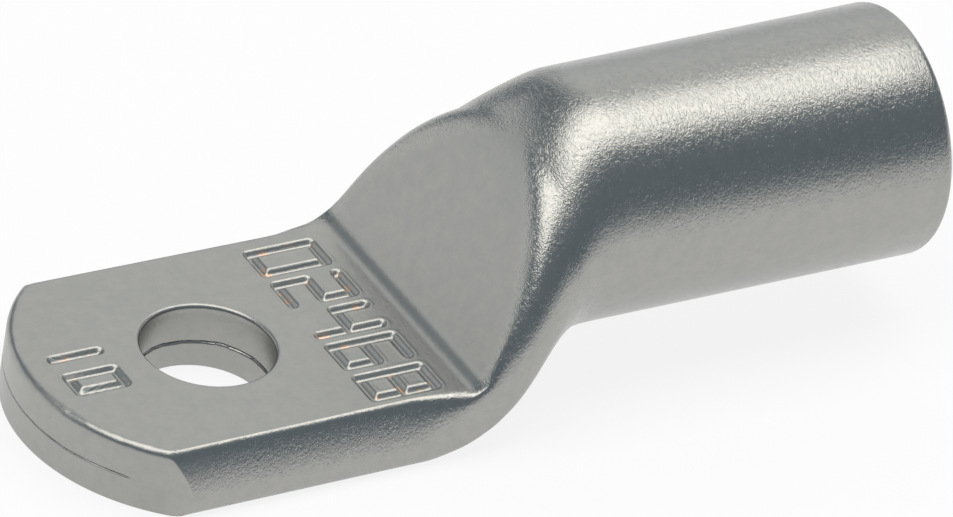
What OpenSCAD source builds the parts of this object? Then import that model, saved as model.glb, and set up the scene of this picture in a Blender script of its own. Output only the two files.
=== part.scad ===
// Tubular cable lug for a stranded copper conductor. The real one is a single
// length of tin-plated copper tube. Its barrel keeps the round section of the
// tube. The other end is pressed flat into a palm, punched for a stud and
// sheared to a round tip, where the tube's two walls still show a fine seam.
//
// X runs along the lug, from the stud hole towards the mouth of the barrel.
// Z points up from the palm's underside, and the stud hole is on the Z axis.

/* [Barrel] */
// Outside diameter of the tube
barrel_d = 10; // [9:0.1:11.6]
// Wall of the tube
wall = 1.5; // [1.1:0.05:1.8]
// Height of the barrel's axis above the palm's underside
axis_z = 6.5; // [5.8:0.1:7.4]
// Distance from the stud hole's axis to the mouth of the barrel
mouth_x = 30; // [26:0.1:40]
// Radius of the rounded edges at the mouth
mouth_round = 0.35; // [0.1:0.05:0.5]

/* [Palm] */
// Thickness of the pressed palm
palm_t = 2.8; // [2.4:0.1:3.2]
// Width of the palm across the stud hole
palm_w = 13.3; // [12:0.1:14.6]
// Angle by which each side of the palm widens towards the tip
palm_flare = 0.7; // [0:0.1:1]
// Distance from the stud hole's axis to the round tip
palm_end = 7.8; // [7.6:0.1:11]
// Width of the palm's rounded upper corners
top_corner_w = 0.5; // [0.3:0.05:1.2]
// Height of the palm's rounded upper corners
top_corner_h = 1.3; // [0.6:0.05:1.4]
// Width and height of the palm's rounded lower corners
low_corner = 0.5; // [0.3:0.05:0.7]
// Radius of the edge that the shear rolls over at the tip
tip_roll = 0.35; // [0.1:0.05:0.6]

/* [Stud hole] */
// Diameter of the hole for the stud
stud_d = 5.3; // [4.3:0.1:6.5]
// Radius of the lip that the punch rolls over on the upper face
stud_lip = 0.2; // [0.05:0.05:0.4]

/* [Seam] */
// Height of the seam between the two pressed walls
seam_z = 1.25; // [1.1:0.05:1.5]
// Gap that is left between the two pressed walls
seam_gap = 0.06; // [0.04:0.01:0.12]

/* [Neck] */
// Distance from the stud hole's axis to the crease at the foot of the ramp
crease_x = 8.7; // [7.5:0.1:11]
// Angle of the pressed ramp above the palm
ramp_angle = 61.5; // [52:0.5:66]
// Radius of the fillet in the crease
crease_round = 0.8; // [0.3:0.1:1.4]
// Height over which the ramp rounds into the top of the barrel
crown_round = 4.1; // [2:0.1:5]
// How far before the ramp's own crest its flat comes to a point
apex_back = 0.6; // [0:0.1:1.5]
// Distance past the crease at which the sides start to narrow
side_start = 1.3; // [0.5:0.1:2]
// Length over which the sides narrow to the barrel
side_run = 4.8; // [4:0.1:7]
// Distance before the crease at which the underside starts to rise
heel_start = 2.3; // [0.5:0.1:2.5]
// Length over which the underside rises to the barrel
heel_run = 7.7; // [6:0.1:9]

/* [Hidden] */
tin = [0.72, 0.72, 0.70];
barrel_r = barrel_d / 2;
bore_r = barrel_r - wall;
stud_r = stud_d / 2;
flare = tan(palm_flare);
ramp = tan(ramp_angle);
// The pressed shape meets the tube's round outside and bore this far inside
// them, so that their true cylinders stay whole
seat = 0.01;
skin_r = barrel_r - seat;
hollow_r = bore_r - seat;
// No straight stretch of a section is shorter than this
least_flat = 0.02;
// How far a trimmed shape or a cutter runs past the face that ends it
spare = 1;
// Distance before the crease at which the section starts to open
open_lead = 1;
// Share of a rolled edge's radius that is still below the upper face
lip_reach = 0.95;
// Segments in each corner of a section, and in each true circle
corner_steps = 11;
fine = 96;
// Spacing of the sections along the neck
station = 0.35;

// Where the pressed shape ends, and the tube's round outside and bore begin
side_end = crease_x + side_start + side_run;
heel_end = crease_x - heel_start + heel_run;
crest_x = crease_x + (axis_z + barrel_r - palm_t) / ramp;
crown_end = crest_x + crown_round / ramp;
barrel_x = max(side_end, heel_end, crown_end);
// Straight down, the sloping wall is this thick, so the bore begins later
ramp_wall = wall / cos(ramp_angle);
bore_x = max(barrel_x, crown_end + (ramp_wall - wall) / ramp);

// 0 before a stretch, 1 after it, and a smooth S along it
function s_curve(t) = t <= 0 ? 0 : t >= 1 ? 1 : t * t * (3 - 2 * t);

// The lower of two heights, rounded where they are within k of each other
function round_min(a, b, k) =
    let (h = max(0, min(1, 0.5 + 0.5 * (b - a) / k)))
    b * (1 - h) + a * h - k * h * (1 - h);

// A level line that turns up into a ramp at a crease
function creased(x, level, crease) =
    let (
        before = crease - crease_round * tan(ramp_angle / 2),
        after = before + crease_round * sin(ramp_angle)
    )
    x <= before ? level
    : x >= after ? level + ramp * (x - crease)
    : level + crease_round - sqrt(pow(crease_round, 2) - pow(x - before, 2));

// How far the sides, the underside and the middle of the section have gone
// from the palm, 0, to the barrel, 1
function side_part(x) = s_curve(1 - (side_end - x) / side_run);
function heel_part(x) = s_curve(1 - (heel_end - x) / heel_run);
function open_part(x) =
    s_curve((x - crease_x + open_lead) / (crest_x - apex_back - crease_x + open_lead));

// Share of the palm's flat that is left on the ramp, a parabola to its apex
function ramp_flat(x) =
    1 - pow(max(0, min(1, (x - crease_x) / (crest_x - apex_back - crease_x))), 2);

// Outer skin: its top, its underside and its half width
function top_z(x) = round_min(creased(x, palm_t, crease_x), axis_z + skin_r, crown_round);
function low_z(x) = (axis_z - skin_r) * heel_part(x);
function palm_half(x) = palm_w / 2 - flare * min(x, crease_x);
function half_w(x) = palm_half(x) * (1 - side_part(x)) + skin_r * side_part(x);

// Inner skin, one wall inside the outer one, down to the closed seam
function inner_top_z(x) =
    let (
        level = seam_z + seam_gap / 2,
        crease = crease_x + (level - palm_t + ramp_wall) / ramp
    )
    round_min(creased(x, level, crease), axis_z + hollow_r, crown_round);
function inner_low_z(x) =
    (seam_z - seam_gap / 2) * (1 - heel_part(x)) + (axis_z - hollow_r) * heel_part(x);

// Half of a closed section, from the middle of its top round to the middle
// of its underside: a flat, a corner, a wall, a corner and a flat
function half_section(top, low, half, top_flat, low_flat, high, deep) =
    let (
        f = max(least_flat, min(top_flat, half - least_flat)),
        g = max(least_flat, min(low_flat, half - least_flat)),
        u = max(high, deep + least_flat)
    )
    concat(
        [for (i = [0 : corner_steps]) let (a = 90 * i / corner_steps)
            [f + (half - f) * sin(a), u + (top - u) * cos(a)]],
        [for (i = [0 : corner_steps]) let (a = 90 * i / corner_steps)
            [g + (half - g) * cos(a), deep - (deep - low) * sin(a)]]
    );

function outer_half(x) =
    let (
        top = top_z(x),
        low = low_z(x),
        tall = top - low,
        part = open_part(x)
    )
    half_section(
        top, low, half_w(x),
        (palm_half(x) - top_corner_w) * ramp_flat(x),
        (palm_half(x) - low_corner) * (1 - heel_part(x)),
        low + tall * ((1 - top_corner_h / palm_t) * (1 - part) + 0.5 * part),
        low + tall * (low_corner / palm_t * (1 - part) + 0.5 * part)
    );

function inner_half(x) =
    let (
        top = inner_top_z(x),
        low = inner_low_z(x),
        half = half_w(x) + hollow_r - skin_r,
        middle = (top + low) / 2
    )
    half_section(
        top, low, half,
        half * ramp_flat(x), half * (1 - heel_part(x)),
        middle + least_flat / 2, middle - least_flat / 2
    );

// A closed solid through half sections, one for each x, mirrored in Y
module loft(xs, halves) {
    n = 2 * len(halves[0]);
    points = [
        for (j = [0 : len(xs) - 1]) each concat(
            [for (p = halves[j]) [xs[j], p[0], p[1]]],
            [for (i = [n / 2 - 1 : -1 : 0]) [xs[j], -halves[j][i][0], halves[j][i][1]]]
        )
    ];
    last = n * (len(xs) - 1);
    sides = [
        for (j = [0 : len(xs) - 2]) for (i = [0 : n - 1])
            let (a = n * j + i, b = n * j + (i + 1) % n)
            each [[a, b, b + n], [a, b + n, a + n]]
    ];
    polyhedron(
        points,
        concat(sides, [[for (i = [n - 1 : -1 : 0]) i], [for (i = [0 : n - 1]) last + i]]),
        convexity = 6
    );
}

// Stations of a loft: one past the tip, then evenly from the heel to the end
function stations(end) =
    let (
        start = crease_x - max(heel_start, open_lead, crease_round),
        count = ceil((end - start) / station)
    )
    concat([-palm_end - spare], [for (i = [0 : count]) start + (end - start) * i / count]);

// Pressed palm and neck, from past the tip to just inside the barrel
module pressed_skin() {
    xs = stations(barrel_x + spare);
    loft(xs, [for (x = xs) outer_half(x)]);
}

// Hollow of the neck, which closes to the seam and runs out at the tip
module pressed_hollow() {
    xs = stations(bore_x + spare);
    loft(xs, [for (x = xs) inner_half(x)]);
}

// Places its children along the barrel's axis, from a given x
module on_axis(x) {
    translate([x, 0, axis_z]) rotate([0, 90, 0]) children();
}

// Round barrel, solid, with the rounded outer edge of its mouth
module barrel() {
    long = mouth_x - barrel_x;
    on_axis(barrel_x) rotate_extrude($fn = fine) {
        square([barrel_r - mouth_round, long]);
        square([barrel_r, long - mouth_round]);
        translate([barrel_r - mouth_round, long - mouth_round])
            intersection() {
                circle(mouth_round, $fn = fine);
                square(mouth_round);
            }
    }
}

// Bore for the conductor, with the rounded inner edge of the mouth
module bore() {
    long = mouth_x - bore_x;
    on_axis(bore_x) rotate_extrude($fn = fine) {
        square([bore_r, long + spare]);
        translate([0, long - mouth_round])
            difference() {
                square([bore_r + mouth_round, mouth_round + spare]);
                translate([bore_r + mouth_round, 0]) circle(mouth_round, $fn = fine);
            }
    }
}

// Stud hole, with the lip that the punch rolls over on the upper face
module stud_hole() {
    lip_z = palm_t - stud_lip * lip_reach;
    translate([0, 0, -spare]) cylinder(r = stud_r, h = palm_t + 2 * spare, $fn = fine);
    rotate_extrude($fn = fine)
        difference() {
            translate([0, lip_z]) square([stud_r + stud_lip, stud_lip + spare]);
            translate([stud_r + stud_lip, lip_z]) circle(stud_lip, $fn = fine);
        }
}

// What the shear takes off round the tip, leaving its upper edge rolled over
module tip_waste() {
    roll_z = palm_t - tip_roll * lip_reach;
    difference() {
        translate([-palm_end - 2 * spare, -palm_w, -spare])
            cube([palm_end + 2 * spare, 2 * palm_w, palm_t + 2 * spare]);
        rotate_extrude($fn = fine) {
            translate([0, -2 * spare]) square([palm_end, roll_z + 2 * spare]);
            translate([0, roll_z]) square([palm_end - tip_roll, tip_roll + 2 * spare]);
            translate([palm_end - tip_roll, roll_z])
                intersection() {
                    circle(tip_roll, $fn = fine);
                    square(tip_roll);
                }
        }
    }
}

module lug() {
    color(tin)
        difference() {
            union() {
                pressed_skin();
                barrel();
            }
            bore();
            pressed_hollow();
            stud_hole();
            tip_waste();
        }
}

lug();
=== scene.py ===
import math

import bpy
import numpy as np
from mathutils import Matrix, Vector


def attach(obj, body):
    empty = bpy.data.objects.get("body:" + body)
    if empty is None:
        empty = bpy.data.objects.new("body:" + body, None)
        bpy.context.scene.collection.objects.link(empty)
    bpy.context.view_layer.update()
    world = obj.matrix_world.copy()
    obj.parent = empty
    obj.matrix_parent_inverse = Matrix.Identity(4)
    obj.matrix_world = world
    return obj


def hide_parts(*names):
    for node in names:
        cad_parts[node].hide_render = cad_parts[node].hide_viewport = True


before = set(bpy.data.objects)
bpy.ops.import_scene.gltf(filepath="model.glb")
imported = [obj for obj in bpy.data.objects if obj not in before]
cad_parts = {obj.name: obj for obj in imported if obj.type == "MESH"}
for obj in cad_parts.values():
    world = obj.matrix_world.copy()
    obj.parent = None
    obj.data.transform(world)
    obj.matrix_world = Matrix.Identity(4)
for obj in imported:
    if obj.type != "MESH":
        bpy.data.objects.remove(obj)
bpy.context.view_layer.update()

MM = 0.001

# Camera
#
# The photograph is taken from over the palm's near corner with a very long
# lens, and the camera is rolled a little, so the lug climbs to the right.

VIEW_AZIMUTH = -34.25
VIEW_ELEVATION = 33.83
VIEW_ROLL = 8.91
VIEW_DISTANCE = 0.93
PIXELS_PER_MM = 25.81
IMAGE_WIDTH = 953
SENSOR_WIDTH = 36
# Point of the lug at the middle of the picture, in millimetres
AIM = (12.0, 0.0, 3.0)
AIM_RIGHT = -0.071
AIM_UP = 0.991


def camera_axes(azimuth, elevation, roll):
    """Right, up and back of a camera that looks at the lug from an azimuth and
    an elevation: back points at the camera, and right and up turn by the roll."""
    a, e, r = (math.radians(v) for v in (azimuth, elevation, roll))
    back = Vector((math.sin(a) * math.cos(e), -math.cos(a) * math.cos(e), math.sin(e)))
    level = Vector((math.cos(a), math.sin(a), 0))
    upright = back.cross(level)
    right = level * math.cos(r) + upright * math.sin(r)
    up = upright * math.cos(r) - level * math.sin(r)
    return right, up, back


right, up, back = camera_axes(VIEW_AZIMUTH, VIEW_ELEVATION, VIEW_ROLL)
camera = bpy.data.objects.new("camera", bpy.data.cameras.new("camera"))
camera.data.sensor_width = SENSOR_WIDTH
camera.data.lens = PIXELS_PER_MM / MM * VIEW_DISTANCE / IMAGE_WIDTH * SENSOR_WIDTH
camera.data.clip_start = 0.01
camera.data.clip_end = 10
aim = (Vector(AIM) + right * AIM_RIGHT + up * AIM_UP) * MM
camera.matrix_world = Matrix.Translation(aim + back * VIEW_DISTANCE) @ Matrix(
    (right, up, back)).transposed().to_4x4()
bpy.context.scene.collection.objects.link(camera)
bpy.context.scene.camera = camera
bpy.context.scene.view_settings.view_transform = "Standard"

# Lug: pressed neck and round barrel
#
# The real lug is one length of annealed copper tube, tinned all over. The
# neck and palm are pressed from it in one stroke, and the barrel stays round.

# Sizes in millimetres. The tube runs along X with its stud hole at the origin
BARREL_R = 5.0
WALL = 1.5
AXIS_Z = 6.5
MOUTH_X = 30.0
MOUTH_ROUND = 0.35
PALM_T = 2.8
PALM_W = 13.3
# Each side of the palm comes in by this much a millimetre, up to the crease
FLARE = math.tan(math.radians(0.7))
# The upper corner's width and height on the palm and on the ramp, and the
# power of the palm's, between a straight slope at 1 and an ellipse at 2
TOP_CORNER_W, RAMP_CORNER_W = 0.8, 0.5
TOP_CORNER_H, RAMP_CORNER_H = 1.9, 1.3
TOP_CORNER_POWER = 1.3
CORNER_CHANGE_X = 5.5
LOW_CORNER = 0.5
# The ramp rises from the crease, and the crown rounds it into the barrel
CREASE_X = 8.7
CREASE_ROUND = 0.8
# The crease opens out to this radius in the last of the palm's width, each side
EDGE_CREASE_ROUND = 3.0
EDGE_REACH = 0.45
RAMP_ANGLE = math.radians(61.5)
RAMP = math.tan(RAMP_ANGLE)
CROWN_ROUND = 4.1
# How far the ramp's flat ends short of its crest
APEX_BACK = 0.6
# The sides start to come in past the crease, and the heel to rise before it
SIDE_START, SIDE_RUN = 1.3, 4.8
HEEL_START, HEEL_RUN = 2.3, 7.7
# The corners start to grow this much before the crease
OPEN_LEAD = 1.0
# The seam between the palm's two walls
SEAM_Z = 1.25
SEAM_GAP = 0.06
# No flat of a section gets narrower than this, so its points stay apart
LEAST_FLAT = 0.02
BORE_R = BARREL_R - WALL
SIDE_END = CREASE_X + SIDE_START + SIDE_RUN
HEEL_END = CREASE_X - HEEL_START + HEEL_RUN
CREST_X = CREASE_X + (AXIS_Z + BARREL_R - PALM_T) / RAMP
APEX_X = CREST_X - APEX_BACK
CROWN_END = CREST_X + CROWN_ROUND / RAMP
BARREL_X = max(SIDE_END, HEEL_END, CROWN_END)
RAMP_WALL = WALL / math.cos(RAMP_ANGLE)
BORE_X = CROWN_END + (RAMP_WALL - WALL) / RAMP
# Where the rings of the neck end and the palm's spokes round the stud hole begin
JOIN_X = 3.3
# Points of half a ring: top flat, upper corner, side, lower corner and lower flat
FLAT_STEPS, CORNER_STEPS, SIDE_STEPS, LOW_STEPS = 72, 10, 18, 5
# Points that each of a half section's two corners is first drawn with
ARC_POINTS = 49
# Rings are closest where the crease turns
CREASE_FROM, CREASE_TO = 8.3, 9.7
PALM_RINGS, CREASE_RINGS, NECK_RINGS, BARREL_RINGS = 92, 16, 32, 10
MOUTH_RINGS, BORE_RINGS, HOLLOW_RINGS = 6, 6, 17
# The hollow closes to the seam this far past the crease
HOLLOW_END = 0.5


def s_curve(t):
    """0 below t = 0 and 1 above t = 1, with 3 t^2 - 2 t^3 between them."""
    t = np.clip(t, 0, 1)
    return t * t * (3 - 2 * t)


def round_min(a, b, k):
    """The lower of two heights, rounded where they are within k of each other."""
    h = np.clip(0.5 + 0.5 * (b - a) / k, 0, 1)
    return b * (1 - h) + a * h - k * h * (1 - h)


def creased(x, level, crease, radius=CREASE_ROUND):
    """A level line that turns up into the ramp through an arc at the crease."""
    before = crease - radius * math.tan(RAMP_ANGLE / 2)
    after = before + radius * math.sin(RAMP_ANGLE)
    arc = level + radius - np.sqrt(np.maximum(radius ** 2 - (x - before) ** 2, 0))
    return np.where(x <= before, level, np.where(x >= after, level + RAMP * (x - crease), arc))


def side_part(x):
    """Share of the way from the palm's width to the barrel's."""
    return s_curve(1 - (SIDE_END - x) / SIDE_RUN)


def heel_part(x):
    """Share of the way from the palm's underside to the barrel's."""
    return s_curve(1 - (HEEL_END - x) / HEEL_RUN)


def palm_half(x):
    """Half the palm's width, which tapers up to the crease and then stays."""
    return PALM_W / 2 - FLARE * np.minimum(x, CREASE_X)


def ramp_flat(x):
    """Share of the palm's flat left on the ramp: 1 - t^2 from crease to apex."""
    return 1 - np.clip((x - CREASE_X) / (APEX_X - CREASE_X), 0, 1) ** 2


def half_section(top, low, half, top_flat, low_flat, high, deep, power=2.0):
    """Half of each section, from the middle of its top round to the middle of
    its underside: a flat, a corner on |y|^power + |z|^power = 1, a straight side,
    a quarter ellipse and a flat. Each argument is one value for a section."""
    f = np.clip(top_flat, LEAST_FLAT, half - LEAST_FLAT)
    g = np.clip(low_flat, LEAST_FLAT, half - LEAST_FLAT)
    u = np.maximum(high, deep + LEAST_FLAT)
    a = np.linspace(0, math.pi / 2, ARC_POINTS)[None, :]
    y = np.hstack([0 * top, f + (half - f) * np.sin(a) ** (2 / power),
                   g + (half - g) * np.cos(a), 0 * top])
    z = np.hstack([top, u + (top - u) * np.abs(np.cos(a)) ** (2 / power),
                   deep - (deep - low) * np.sin(a), low])
    return y, z


def spread(y, z, share):
    """Points of each half section at the given shares of its own length."""
    step = np.hypot(np.diff(y, axis=1), np.diff(z, axis=1))
    along = np.hstack([0 * y[:, :1], np.cumsum(step, axis=1)])
    at = share * along[:, -1:]
    return (np.stack([np.interp(t, s, v) for t, s, v in zip(at, along, y)]),
            np.stack([np.interp(t, s, v) for t, s, v in zip(at, along, z)]))


def closed_rings(x, y, z):
    """Whole rings from half sections: the half, and its mirror image in Y."""
    ring_y = np.hstack([y, -y[:, -2:0:-1]])
    ring_z = np.hstack([z, z[:, -2:0:-1]])
    return np.stack([np.broadcast_to(x, ring_y.shape), ring_y, ring_z], axis=-1)


def outer_sections(x):
    """Half sections of the outer skin at a column of x."""
    top = round_min(creased(x, PALM_T, CREASE_X), AXIS_Z + BARREL_R, CROWN_ROUND)
    low = (AXIS_Z - BARREL_R) * heel_part(x)
    half = palm_half(x) * (1 - side_part(x)) + BARREL_R * side_part(x)
    tall = top - low
    part = s_curve((x - CREASE_X + OPEN_LEAD) / (APEX_X - CREASE_X + OPEN_LEAD))
    ramp = s_curve((x - CORNER_CHANGE_X) / (CREASE_X - CORNER_CHANGE_X))
    corner_w = TOP_CORNER_W * (1 - ramp) + RAMP_CORNER_W * ramp
    corner_h = TOP_CORNER_H * (1 - ramp) + RAMP_CORNER_H * ramp
    return half_section(
        top, low, half,
        (palm_half(x) - corner_w) * ramp_flat(x),
        (palm_half(x) - LOW_CORNER) * (1 - heel_part(x)),
        low + tall * ((1 - corner_h / PALM_T) * (1 - part) + 0.5 * part),
        low + tall * (LOW_CORNER / PALM_T * (1 - part) + 0.5 * part),
        TOP_CORNER_POWER + (2 - TOP_CORNER_POWER) * np.maximum(part, ramp))


def inner_sections(x):
    """Half sections of the neck's hollow, one wall inside, at a column of x."""
    level = SEAM_Z + SEAM_GAP / 2
    crease = CREASE_X + (level - PALM_T + RAMP_WALL) / RAMP
    top = round_min(creased(x, level, crease), AXIS_Z + BORE_R, CROWN_ROUND)
    low = (SEAM_Z - SEAM_GAP / 2) * (1 - heel_part(x)) + (AXIS_Z - BORE_R) * heel_part(x)
    half = palm_half(x) * (1 - side_part(x)) + BARREL_R * side_part(x) - WALL
    middle = (top + low) / 2
    return half_section(top, low, half, half * ramp_flat(x), half * (1 - heel_part(x)),
                        middle + LEAST_FLAT / 2, middle - LEAST_FLAT / 2)


def edge_lift(x, y, z):
    """How much higher the lug's upper edge runs past the crease than its middle:
    the rise of the wide arc over the narrow one, eased in towards the edge and
    eased out down the side."""
    rise = creased(x, PALM_T, CREASE_X, EDGE_CREASE_ROUND) - creased(x, PALM_T, CREASE_X)
    toward_edge = s_curve((np.abs(y) - palm_half(x) + EDGE_REACH) / EDGE_REACH)
    return rise * toward_edge * s_curve(z / PALM_T)


def ring_shares():
    """Shares of half a ring's length at the join, with a whole number of steps
    in its flat, corner, side, lower corner and lower flat."""
    y, z = (v[0] for v in outer_sections(np.array([[JOIN_X]])))
    along = np.concatenate([[0], np.cumsum(np.hypot(np.diff(y), np.diff(z)))])
    ends = [0, 1, ARC_POINTS, ARC_POINTS + 1, 2 * ARC_POINTS, 2 * ARC_POINTS + 1]
    breaks = along[ends] / along[-1]
    steps = [FLAT_STEPS, CORNER_STEPS, SIDE_STEPS, LOW_STEPS, FLAT_STEPS]
    parts = [np.linspace(a, b, n, endpoint=False)
             for a, b, n in zip(breaks[:-1], breaks[1:], steps)]
    return np.concatenate(parts + [[1.0]])


neck_x = np.concatenate([
    np.linspace(JOIN_X, CREASE_FROM, PALM_RINGS),
    np.linspace(CREASE_FROM, CREASE_TO, CREASE_RINGS)[1:],
    np.linspace(CREASE_TO, BARREL_X, NECK_RINGS)[1:],
    np.linspace(BARREL_X, MOUTH_X - MOUTH_ROUND, BARREL_RINGS)[1:]])[:, None]
palm_shares = ring_shares()[None, :]
even_shares = np.linspace(0, 1, palm_shares.size)[None, :]
toward_barrel = s_curve((neck_x - CREASE_X) / (BARREL_X - CREASE_X))
shares = palm_shares * (1 - toward_barrel) + even_shares * toward_barrel
y, z = spread(*outer_sections(neck_x), shares)
outer_rings = closed_rings(neck_x, y, z + edge_lift(neck_x, y, z))

# Mouth, bore and hollow, as rings that run from the barrel's end back inside
turn = np.linspace(0, math.pi / 2, MOUTH_RINGS)[:, None]
mouth_x = MOUTH_X - MOUTH_ROUND + MOUTH_ROUND * np.vstack([np.sin(turn[1:]), np.cos(turn)])
mouth_r = np.vstack([BARREL_R - MOUTH_ROUND + MOUTH_ROUND * np.cos(turn[1:]),
                     BORE_R + MOUTH_ROUND - MOUTH_ROUND * np.sin(turn)])
bore_x = np.linspace(MOUTH_X - MOUTH_ROUND, BORE_X, BORE_RINGS)[1:, None]
tube_x = np.vstack([mouth_x, bore_x])
tube_r = np.vstack([mouth_r, np.full(bore_x.shape, BORE_R)])
angle = math.pi * even_shares
tube_rings = closed_rings(tube_x, tube_r * np.sin(angle), AXIS_Z + tube_r * np.cos(angle))
hollow_x = np.linspace(BORE_X, CREASE_X + HOLLOW_END, HOLLOW_RINGS)[1:, None]
y, z = spread(*inner_sections(hollow_x), even_shares)
hollow_rings = closed_rings(hollow_x, y, z)
rings = np.concatenate([outer_rings, tube_rings, hollow_rings])

# Lug: palm round the stud hole
#
# The palm's two pressed walls are punched through for the stud and sheared
# to a round tip about the same centre. Both cuts show the fine seam between
# the walls, and their upper edges are rolled over.

PALM_END = 7.8
# The tip's rolled edge, and the share of it that it wanders by
TIP_ROLL = 0.35
TIP_ROLL_WANDER = 0.22
STUD_R = 2.65
STUD_LIP = 0.2
# How much of its full depth an upper edge's rounding falls
LIP_REACH = 0.95
SIDE_SPOKES, TIP_SPOKES = 40, 110
TOP_ROWS, LOW_ROWS, LIP_ROWS = 50, 5, 4
# The seam in the tip's sheared face: how far it runs to each side and fades
# out, its depth, half its width and how much it wanders up and down
TIP_SEAM_REACH, TIP_SEAM_FADE = 5.2, 0.6
TIP_SEAM_DEPTH, TIP_SEAM_HALF, TIP_SEAM_WANDER = 0.07, 0.028, 0.02
# Shares of the sheared face's height that the seam lies between, the rows above
# it, in it and below it, and the x over which these rows take over from even ones
SEAM_FROM, SEAM_TO = 0.46, 0.53
ABOVE_ROWS, SEAM_ROWS, BELOW_ROWS = 6, 10, 5
TIP_FROM_X, TIP_CHANGE = 2.0, 4
# The seam in the stud hole, and how much wider the hole is above it
CUT_SEAM_Z = 1.12
CUT_SEAM_DEPTH, CUT_SEAM_HALF, CUT_SEAM_WANDER = 0.10, 0.035, 0.03
CUT_STEP = 0.03


def palm_top(x, y):
    """Height of the palm's upper face: level, falling through the upper corner
    at each side and through a quarter circle at the tip."""
    half = palm_half(x)
    out = np.clip((np.abs(y) - half + TOP_CORNER_W) / TOP_CORNER_W, 0, 1)
    fall = (1 - out ** TOP_CORNER_POWER) ** (1 / TOP_CORNER_POWER)
    side = PALM_T - TOP_CORNER_H + TOP_CORNER_H * fall
    roll = tip_roll(np.arctan2(y, x))
    past = np.clip((np.hypot(x, y) - PALM_END + roll) / roll, 0, 1)
    tip = PALM_T - TIP_ROLL * LIP_REACH * (1 - np.sqrt(1 - past ** 2))
    return np.minimum(side, np.where(x < 0, tip, PALM_T))


def palm_low(x, y):
    """Height of the palm's lower face: level, rising through a quarter circle
    at each side, and square where the tip is sheared."""
    out = np.clip((np.abs(y) - palm_half(x) + LOW_CORNER) / LOW_CORNER, 0, 1)
    return LOW_CORNER - LOW_CORNER * np.sqrt(1 - out ** 2)


def waver(t, seed):
    """A slow uneven curve between about -1 and 1: a sum of five sines of t."""
    turns = np.array([1.0, 2.3, 4.1, 7.3, 12.7])
    starts = np.array([0.3, 1.9, 4.4, 2.8, 5.6]) * seed
    return (np.sin(np.multiply.outer(t, turns) + starts) / np.sqrt(turns)).sum(-1) / 1.8


def tip_roll(angle):
    """How far in from the tip's edge its upper face starts to fall, which
    wanders along the edge as the shear dragged the metal."""
    return TIP_ROLL * (1 + TIP_ROLL_WANDER * waver(angle * 6, 2.0))


def palm_outline():
    """Points round the palm where its upper face begins to fall, and the points
    of its edge beside them, from the middle of the join, round the tip and back."""
    steps = np.linspace(0, 1, FLAT_STEPS + 1)
    f = palm_half(JOIN_X) - TOP_CORNER_W
    join = np.stack([np.full(FLAT_STEPS + 1, JOIN_X), f * steps], axis=-1)
    # The side ends on the tip's circle, and a few rounds settle where
    corner_x = -math.sqrt(PALM_END ** 2 - (PALM_W / 2) ** 2)
    for _ in range(4):
        corner_x = -math.sqrt(PALM_END ** 2 - palm_half(corner_x) ** 2)
    side_x = np.linspace(JOIN_X, corner_x, SIDE_SPOKES + 1)[1:]
    side_edge = np.stack([side_x, palm_half(side_x)], axis=-1)
    inner_r = PALM_END - TIP_ROLL
    inner_corner = -math.sqrt(inner_r ** 2 - (palm_half(corner_x) - TOP_CORNER_W) ** 2)
    inset_x = np.linspace(JOIN_X, inner_corner, SIDE_SPOKES + 1)[1:]
    side_inset = np.stack([inset_x, palm_half(inset_x) - TOP_CORNER_W], axis=-1)

    def arc(radius, x):
        """Half the tip's arc at a radius, from x to the middle of the tip."""
        t = np.linspace(math.acos(x / radius), math.pi, TIP_SPOKES // 2 + 1)[1:]
        return np.stack([radius * np.cos(t), radius * np.sin(t)], axis=-1)

    edge_join = np.array([[JOIN_X, palm_half(JOIN_X)]])
    inset = np.concatenate([join, side_inset, arc(inner_r, inner_corner)])
    edge = np.concatenate([join[:-1], edge_join, side_edge, arc(PALM_END, corner_x)])
    mirror = np.array([1, -1])
    return (np.concatenate([inset, inset[-2:0:-1] * mirror]),
            np.concatenate([edge, edge[-2:0:-1] * mirror]))


# Plain figures that a stamp has pressed into the palm: each is a few strokes
# in a box 1 wide and 2 tall
FIGURES = {
    "0": [(0, 0, 0, 2), (0, 2, 1, 2), (1, 2, 1, 0), (1, 0, 0, 0)],
    "1": [(0.5, 0, 0.5, 2)],
    "2": [(0, 2, 1, 2), (1, 2, 1, 1), (1, 1, 0, 1), (0, 1, 0, 0), (0, 0, 1, 0)],
    "4": [(0, 2, 0, 1), (0, 1, 1, 1), (1, 2, 1, 0)],
    "6": [(1, 2, 0, 2), (0, 2, 0, 0), (0, 0, 1, 0), (1, 0, 1, 1), (1, 1, 0, 1)],
    "8": [(0, 0, 0, 2), (0, 2, 1, 2), (1, 2, 1, 0), (1, 0, 0, 0), (0, 1, 1, 1)],
}
# Each stamp: its figures, the x of their feet, the y of the first one, their
# height and the distance from one to the next
STAMPS = [("02468", 4.5, 4.9, 2.7, 2.2), ("10", -6.3, 1.55, 2.0, 1.75)]
STAMP_DEPTH = 0.20
# Half the width of a stroke at its floor and at its top, then the burr's
# height, its distance past the stroke's top and half its width
STROKE_FLOOR, STROKE_TOP = 0.04, 0.26
BURR_HEIGHT, BURR_AWAY, BURR_HALF = 0.015, 0.05, 0.07


def stamp_strokes():
    """Ends of every stroke on the palm, in millimetres. The figures stand with
    their feet towards the tip, so they read from there."""
    ends = []
    for text, foot_x, first_y, tall, pitch in STAMPS:
        k = tall / 2
        for place, figure in enumerate(text):
            left = first_y - pitch * place
            for x0, y0, x1, y1 in FIGURES[figure]:
                ends.append((foot_x + k * y0, left - k * x0, foot_x + k * y1, left - k * x1))
    return np.array(ends)


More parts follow.
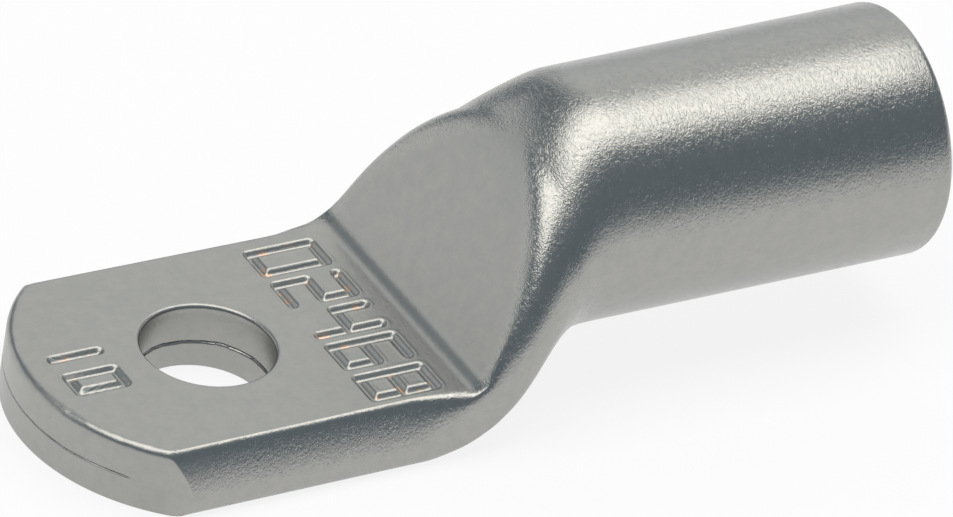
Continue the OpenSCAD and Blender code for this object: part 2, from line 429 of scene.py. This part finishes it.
def stamp_relief(x, y):
    """How far the stamp sinks the palm at each point: a trough with sloping
    walls along the nearest stroke, and the low burr that it throws up beside it."""
    nearest = np.full(x.shape, np.inf)
    for x0, y0, x1, y1 in stamp_strokes():
        run_x, run_y = x1 - x0, y1 - y0
        t = ((x - x0) * run_x + (y - y0) * run_y) / (run_x ** 2 + run_y ** 2)
        t = np.clip(t, 0, 1)
        nearest = np.minimum(nearest, np.hypot(x - x0 - t * run_x, y - y0 - t * run_y))
    trough = STAMP_DEPTH * (1 - s_curve((nearest - STROKE_FLOOR) / (STROKE_TOP - STROKE_FLOOR)))
    burr = BURR_HEIGHT * np.exp(-((nearest - STROKE_TOP - BURR_AWAY) / BURR_HALF) ** 2)
    return trough - burr


inset, edge = palm_outline()
aim_angle = np.arctan2(inset[:, 1], inset[:, 0])
spoke = np.stack([np.cos(aim_angle), np.sin(aim_angle)], axis=-1)

# Upper face, from the lip of the hole to where the edge begins to fall
t = np.linspace(0, 1, TOP_ROWS + 1)[:, None, None]
flat_xy = (STUD_R + STUD_LIP) * spoke * (1 - t) + inset * t
# Rolled edge, at the same shares as the corner of the ring at the join
ring_y = outer_rings[0, :palm_shares.size, 1]
corner_y = ring_y[FLAT_STEPS:FLAT_STEPS + CORNER_STEPS + 1]
corner_t = ((corner_y - corner_y[0]) / (corner_y[-1] - corner_y[0]))[1:, None, None]
roll_xy = inset * (1 - corner_t) + edge * corner_t
upper_xy = np.concatenate([flat_xy, roll_xy])
upper_z = palm_top(upper_xy[..., 0], upper_xy[..., 1])
upper_z = upper_z - stamp_relief(upper_xy[..., 0], upper_xy[..., 1])
upper = np.dstack([upper_xy, upper_z])
# The figures by the crease lie on the rings' flat upper face
stamped = (rings[..., 0] < CREASE_X) & (rings[..., 2] > PALM_T - 0.01)
rings[..., 2] -= np.where(stamped, stamp_relief(rings[..., 0], rings[..., 1]), 0)

# Sheared and pressed edge, down to the lower face
lower_start = palm_low(edge[:, 0], edge[:, 1])
even_fall = np.linspace(0, 1, SIDE_STEPS + 1)[1:, None]
seam_fall = np.concatenate([
    np.linspace(0, SEAM_FROM, ABOVE_ROWS)[1:],
    np.linspace(SEAM_FROM, SEAM_TO, SEAM_ROWS)[1:],
    np.linspace(SEAM_TO, 1, BELOW_ROWS)[1:]])[:, None]
on_tip = s_curve((TIP_FROM_X - edge[:, 0]) / TIP_CHANGE)
fall = even_fall * (1 - on_tip) + seam_fall * on_tip
wall_z = upper_z[-1] * (1 - fall) + lower_start * fall
seam_line = SEAM_Z + TIP_SEAM_WANDER * waver(aim_angle * 5, 3.0)
seam_cut = TIP_SEAM_DEPTH * np.exp(-((wall_z - seam_line) / TIP_SEAM_HALF) ** 2)
past_seam = s_curve((np.abs(edge[:, 1]) - TIP_SEAM_REACH + TIP_SEAM_FADE) / TIP_SEAM_FADE)
seam_cut = seam_cut * (edge[:, 0] < 0) * (1 - past_seam)
wall_xy = edge * (1 - seam_cut / PALM_END)[..., None]
wall_face = np.dstack([wall_xy, wall_z])

# Lower corner and lower face, in to the foot of the hole
low_y = ring_y[-FLAT_STEPS - LOW_STEPS - 1:-FLAT_STEPS]
low_t = ((low_y[0] - low_y) / (low_y[0] - low_y[-1]))[1:, None, None]
low_xy = edge * (1 - low_t) + inset * low_t
t = np.linspace(0, 1, LOW_ROWS + 1)[1:, None, None]
under_xy = inset * (1 - t) + STUD_R * spoke * t
lower_xy = np.concatenate([low_xy, under_xy])
lower = np.dstack([lower_xy, palm_low(lower_xy[..., 0], lower_xy[..., 1])])

# Wall of the hole, up past the seam to the lip
bare_z = np.concatenate([
    [0.3, 0.6, 0.85], np.linspace(0.94, 1.34, 12), [1.5, 1.8, 2.1, 2.4]])[:, None]
lip_z = PALM_T - STUD_LIP * LIP_REACH
cut_z = np.vstack([bare_z, [[lip_z]]])
cut_r = np.full((cut_z.size, 1), STUD_R)
lip_turn = np.linspace(0, math.pi / 2, LIP_ROWS + 1)[1:-1, None]
cut_z = np.vstack([cut_z, lip_z + STUD_LIP * np.sin(lip_turn)])
cut_r = np.vstack([cut_r, STUD_R + STUD_LIP * (1 - np.cos(lip_turn))])
seam_line = CUT_SEAM_Z + CUT_SEAM_WANDER * waver(aim_angle * 3, 1.0)
seam_off = (cut_z - seam_line) / CUT_SEAM_HALF
below_lip = cut_z < lip_z + 0.001
cut_r = (cut_r + CUT_SEAM_DEPTH * np.exp(-seam_off ** 2)
         + CUT_STEP * s_curve(seam_off / 2) * below_lip)
hole_wall = np.dstack([cut_r[..., None] * spoke, np.broadcast_to(cut_z, cut_r.shape)])
spokes = np.concatenate([upper, wall_face, lower, hole_wall])

# Lug: one closed mesh
#
# The rings and the spokes share the points of the join, and the hollow ends
# in the closed seam under the ramp.


def grid_faces(index):
    """Quads between the rows and columns of a table of point numbers."""
    return np.stack([index[:-1, :-1], index[1:, :-1], index[1:, 1:], index[:-1, 1:]],
                    axis=-1).reshape(-1, 4)


def mesh_object(name, points, faces, material):
    """A mesh object at the origin from points in millimetres."""
    mesh = bpy.data.meshes.new(name)
    mesh.from_pydata((points * MM).tolist(), [], faces.tolist())
    mesh.validate()
    mesh.materials.append(material)
    made = bpy.data.objects.new(name, mesh)
    bpy.context.scene.collection.objects.link(made)
    return made


ring_count, ring_size = rings.shape[:2]
spoke_rows, spoke_count = spokes.shape[:2]
ring_index = np.arange(ring_count * ring_size).reshape(ring_count, ring_size)
spoke_index = ring_index.size + np.arange(spoke_rows * spoke_count).reshape(
    spoke_rows, spoke_count)

# The join's points belong to the first ring: the spokes that end on it use
# them in place of their own, on the upper face, down both sides and below
half_ring = palm_shares.size - 1
first_side = FLAT_STEPS
last_side = spoke_count - FLAT_STEPS
flat_low = half_ring - np.arange(FLAT_STEPS + 1)
side_run = np.arange(FLAT_STEPS, half_ring - FLAT_STEPS + 1)
right_spokes = np.arange(FLAT_STEPS + 1)
left_spokes = (spoke_count - right_spokes) % spoke_count
spoke_index[TOP_ROWS, right_spokes] = ring_index[0, right_spokes]
spoke_index[TOP_ROWS, left_spokes] = ring_index[0, (ring_size - right_spokes) % ring_size]
edge_rows = np.arange(TOP_ROWS, TOP_ROWS + side_run.size)
spoke_index[edge_rows, first_side] = ring_index[0, side_run]
spoke_index[edge_rows, last_side] = ring_index[0, ring_size - side_run]
inset_low = edge_rows[-1]
spoke_index[inset_low, right_spokes] = ring_index[0, flat_low]
spoke_index[inset_low, left_spokes] = ring_index[0, (ring_size - flat_low) % ring_size]

ring_table = np.hstack([ring_index, ring_index[:, :1]])
spoke_table = np.hstack([spoke_index, spoke_index[:, :1]])
spoke_table = np.vstack([spoke_table, spoke_table[:1]])
palm_faces = np.concatenate([
    grid_faces(spoke_table[:TOP_ROWS + 1]),
    grid_faces(spoke_table[TOP_ROWS:inset_low + 1, first_side:last_side + 1]),
    grid_faces(spoke_table[inset_low:])])
# The hollow's last ring is closed by strips from its upper half to its lower
strip = np.arange(half_ring // 2)
right_end = ring_index[-1, :half_ring + 1]
left_end = ring_index[-1, (ring_size - np.arange(half_ring + 1)) % ring_size]
closing = [
    np.stack([end[strip], end[half_ring - strip], end[half_ring - strip - 1], end[strip + 1]],
             axis=-1)
    for end in (right_end, left_end)]
quads = np.concatenate([grid_faces(ring_table), palm_faces, closing[0], closing[1][:, ::-1]])
points = np.concatenate([rings.reshape(-1, 3), spokes.reshape(-1, 3)])
used, quads = np.unique(quads, return_inverse=True)
points, faces = points[used], quads.reshape(-1, 4)


# Lug: bright tin over copper
#
# Electroplated tin on pressed copper: a pale, slightly warm grey metal with a
# satin bloom. The dies leave it smooth where they pressed it flat, and the
# drawn tube keeps a fine crinkle that breaks up its highlights.

# Pale tin and the duller tin that mottles it, and copper under the thinnest tin
TIN = "#AAA9A5"
DULL_TIN = "#A3A3A0"
BARE_COPPER = "#C9AC98"
PRESSED_ROUGHNESS, DRAWN_ROUGHNESS = 0.34, 0.25
# The crinkle's ridges are this wide along the tube and this long round it
CRINKLE_WIDE, CRINKLE_LONG, CRINKLE_HEIGHT = 0.12, 0.22, 0.020
# Size and height of the faint grain all over, and size of the mottling
GRAIN, GRAIN_HEIGHT = 0.15, 0.008
CLOUD = 0.6
# Size of the copper glints, and the noise values that they start and are full at
GLINT, GLINT_FROM, GLINT_TO = 0.55, 0.60, 0.66
# Where the drawn skin's crinkle starts and the width it grows over: inside the
# palm's side corner, before the ramp's apex, and where it ends on the tip's cut
SIDE_LEAD, SIDE_FADE = 0.15, 0.4
APEX_LEAD, APEX_FADE = 0.4, 1.0
TIP_LEAD, TIP_FADE, TIP_CORNER_FADE = 1.3, 1.0, 0.9
# Faces that meet at more than this angle keep a hard edge
SHARP_ANGLE = math.radians(70)


def drawn_skin(x, y, z):
    """1 on the tube's own drawn skin and 0 on what the dies pressed flat or
    sheared, which is the palm's two faces, the ramp and the tip's cut, with a
    soft change at their edges."""
    upper = (palm_half(x) - TOP_CORNER_W) * ramp_flat(x)
    lower = (palm_half(x) - LOW_CORNER) * (1 - heel_part(x))
    limit = np.where(z > PALM_T / 2 + heel_part(x) * AXIS_Z / 2, upper, lower)
    past_edge = s_curve((np.abs(y) - limit + SIDE_LEAD) / SIDE_FADE)
    past_ramp = s_curve((x - APEX_X + APEX_LEAD) / APEX_FADE)
    near_tip = s_curve((np.hypot(x, y) - PALM_END + TIP_LEAD) / TIP_FADE) * (x < 0)
    sheared = near_tip * s_curve((palm_half(x) - np.abs(y)) / TIP_CORNER_FADE)
    return np.maximum(past_edge, past_ramp) * (1 - sheared)


def worn_tin(x, y, z):
    """1 on the floor of the stamped strokes, where the tin is thinnest, falling
    with their depth to 0 beside them."""
    on_palm = (z > PALM_T - 0.5) & (x < CREASE_X)
    worn = np.zeros(x.shape)
    worn[on_palm] = np.abs(stamp_relief(x[on_palm], y[on_palm])) / STAMP_DEPTH
    return np.clip(worn, 0, 1)


def linear(hex_colour):
    """An sRGB hex colour as linear red, green, blue and alpha."""
    c = np.array([int(hex_colour[i:i + 2], 16) for i in (1, 3, 5)]) / 255
    c = np.where(c <= 0.04045, c / 12.92, ((c + 0.055) / 1.055) ** 2.4)
    return (*c.tolist(), 1.0)


def add_node(tree, kind, links=None, **settings):
    """Adds a node, gives it settings and input values, and links its inputs.
    A setting whose name isn't one of the node's own is the value of an input."""
    node = tree.nodes.new(kind)
    for name, value in settings.items():
        if hasattr(node, name):
            setattr(node, name, value)
        else:
            node.inputs[name.replace("_", " ")].default_value = value
    for name, source in (links or {}).items():
        tree.links.new(source, node.inputs[name])
    return node


tin = bpy.data.materials.new("electroplated_tin")
tin.use_nodes = True
tree = tin.node_tree
tree.nodes.clear()
where = add_node(tree, "ShaderNodeTexCoord").outputs["Object"]
drawn = add_node(tree, "ShaderNodeAttribute", attribute_name="drawn").outputs["Fac"]
worn = add_node(tree, "ShaderNodeAttribute", attribute_name="worn").outputs["Fac"]
# Crinkle of the drawn skin, stretched round the tube
stretched = add_node(tree, "ShaderNodeMapping", {"Vector": where})
stretched.inputs["Scale"].default_value = [
    1 / (size * MM) for size in (CRINKLE_WIDE, CRINKLE_LONG, CRINKLE_LONG)]
crinkle = add_node(tree, "ShaderNodeTexNoise", {"Vector": stretched.outputs["Vector"]},
                   Scale=1.0, Detail=2.0, Roughness=0.55, Distortion=1.6)
crinkle_bump = add_node(tree, "ShaderNodeBump", {
    "Height": crinkle.outputs["Fac"], "Strength": drawn}, Distance=CRINKLE_HEIGHT * MM)
# Faint grain all over
grain = add_node(tree, "ShaderNodeTexNoise", {"Vector": where},
                 Scale=1 / (GRAIN * MM), Detail=2.0, Roughness=0.6)
grain_bump = add_node(tree, "ShaderNodeBump", {
    "Height": grain.outputs["Fac"], "Normal": crinkle_bump.outputs["Normal"]},
    Strength=1.0, Distance=GRAIN_HEIGHT * MM)
# Fine mottling between the two tins
cloud = add_node(tree, "ShaderNodeTexNoise", {"Vector": where},
                 Scale=1 / (CLOUD * MM), Detail=5.0, Roughness=0.8)
cloud = add_node(tree, "ShaderNodeMapRange", {"Value": cloud.outputs["Fac"]},
                 From_Min=0.35, From_Max=0.65)
tone = add_node(tree, "ShaderNodeMix", {"Factor": cloud.outputs["Result"]}, data_type="RGBA")
tone.inputs[6].default_value, tone.inputs[7].default_value = linear(TIN), linear(DULL_TIN)
# Small glints of copper where the stamp thinned the tin
glint = add_node(tree, "ShaderNodeTexNoise", {"Vector": where},
                 Scale=1 / (GLINT * MM), Detail=1.0, Roughness=0.5)
glint = add_node(tree, "ShaderNodeMapRange", {"Value": glint.outputs["Fac"]},
                 From_Min=GLINT_FROM, From_Max=GLINT_TO)
glint = add_node(tree, "ShaderNodeMath", {0: glint.outputs["Result"], 1: worn},
                 operation="MULTIPLY")
colour = add_node(tree, "ShaderNodeMix", {"Factor": glint.outputs[0], 6: tone.outputs[2]},
                  data_type="RGBA")
colour.inputs[7].default_value = linear(BARE_COPPER)
rough = add_node(tree, "ShaderNodeMapRange", {"Value": drawn},
                 To_Min=PRESSED_ROUGHNESS, To_Max=DRAWN_ROUGHNESS)
surface = add_node(tree, "ShaderNodeBsdfPrincipled", {
    "Base Color": colour.outputs[2], "Roughness": rough.outputs["Result"],
    "Normal": grain_bump.outputs["Normal"]}, Metallic=1.0)
add_node(tree, "ShaderNodeOutputMaterial", {"Surface": surface.outputs["BSDF"]})

lug = mesh_object("lug_body", points, faces, tin)
for name, values in (("drawn", drawn_skin(*points.T)), ("worn", worn_tin(*points.T))):
    attribute = lug.data.attributes.new(name, "FLOAT", "POINT")
    attribute.data.foreach_set("value", values.astype(np.float32))
lug.data.polygons.foreach_set("use_smooth", np.ones(len(lug.data.polygons), bool))
lug.data.set_sharp_from_angle(angle=SHARP_ANGLE)
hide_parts("lug")
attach(lug, "root")

# Table
#
# A plain white sheet under the palm. Seen directly or in the metal it is close
# to white all over, with only the lug's soft shadow left on it.

PAPER = "#FAFAFA"
PURE_WHITE = "#FFFFFF"
# Side of the sheet in metres
FLOOR_SIZE = 6.0
# Share of plain white in what the camera and the mirrored rays see of it
WHITE_SHARE = 0.85

# Matt white paper: no sheen, and no edge between it and the background
paper = bpy.data.materials.new("white_paper")
paper.use_nodes = True
tree = paper.node_tree
tree.nodes.clear()
matt = add_node(tree, "ShaderNodeBsdfDiffuse", Color=linear(PAPER))
glow = add_node(tree, "ShaderNodeEmission", Color=linear(PURE_WHITE), Strength=1.0)
ray = add_node(tree, "ShaderNodeLightPath")
seen = add_node(tree, "ShaderNodeMath", {
    0: ray.outputs["Is Camera Ray"], 1: ray.outputs["Is Glossy Ray"]}, operation="MAXIMUM")
seen = add_node(tree, "ShaderNodeMath", {
    0: seen.outputs[0], 1: ray.outputs["Is Transmission Ray"]}, operation="MAXIMUM")
share = add_node(tree, "ShaderNodeMath", {0: seen.outputs[0]}, operation="MULTIPLY")
share.inputs[1].default_value = WHITE_SHARE
mixed = add_node(tree, "ShaderNodeMixShader",
                 {0: share.outputs[0], 1: matt.outputs[0], 2: glow.outputs[0]})
add_node(tree, "ShaderNodeOutputMaterial", {"Surface": mixed.outputs[0]})
corners = np.array([[-1, -1, 0], [1, -1, 0], [1, 1, 0], [-1, 1, 0]]) * FLOOR_SIZE / 2 / MM
floor = mesh_object("floor", corners, np.array([[0, 1, 2, 3]]), paper)

# Light
#
# A broad soft box overhead lights the barrel and neck along their length, and
# the palm and the ramp mirror a box each. Between them the metal shows a dim,
# cool room, as for a small product photographed on a white table.

ROOM = "#838F99"
LAMP_WHITE = "#FFFBF3"
SOFT_BOXES = [
    # Name, azimuth, elevation, azimuth of its long side, length, width and
    # brightness, in degrees, metres and shares of a pure white
    ("overhead", 90, 86.7, 0, 2.5, 0.95, 2.4),
    ("rear", 55, 30, 145, 1.3, 1.2, 0.70),
    ("backdrop", 132, 13, 222, 1.5, 0.65, 0.72),
]
BOX_DISTANCE = 1.4

# The camera sees white past the table's edge, and only the metal sees the room
world = bpy.data.worlds.new("room")
bpy.context.scene.world = world
world.use_nodes = True
tree = world.node_tree
background = tree.nodes["Background"]
ray = add_node(tree, "ShaderNodeLightPath")
shade = add_node(tree, "ShaderNodeMix", {"Factor": ray.outputs["Is Camera Ray"]},
                 data_type="RGBA")
shade.inputs[6].default_value, shade.inputs[7].default_value = linear(ROOM), linear(PURE_WHITE)
tree.links.new(shade.outputs[2], background.inputs["Color"])
background.inputs["Strength"].default_value = 1.0
for name, azimuth, elevation, long_azimuth, length, width, brightness in SOFT_BOXES:
    a, e, g = (math.radians(v) for v in (azimuth, elevation, long_azimuth))
    toward = Vector((math.cos(a) * math.cos(e), math.sin(a) * math.cos(e), math.sin(e)))
    along = Vector((math.cos(g), math.sin(g), 0))
    along = (along - toward * along.dot(toward)).normalized()
    box = bpy.data.lights.new(name, "AREA")
    box.shape = "RECTANGLE"
    box.size, box.size_y = length, width
    box.color = linear(LAMP_WHITE)[:3]
    box.energy = brightness * math.pi * length * width
    lamp = bpy.data.objects.new(name, box)
    lamp.matrix_world = Matrix.Translation(toward * BOX_DISTANCE) @ Matrix(
        (along, toward.cross(along), toward)).transposed().to_4x4()
    lamp.visible_camera = False
    bpy.context.scene.collection.objects.link(lamp)
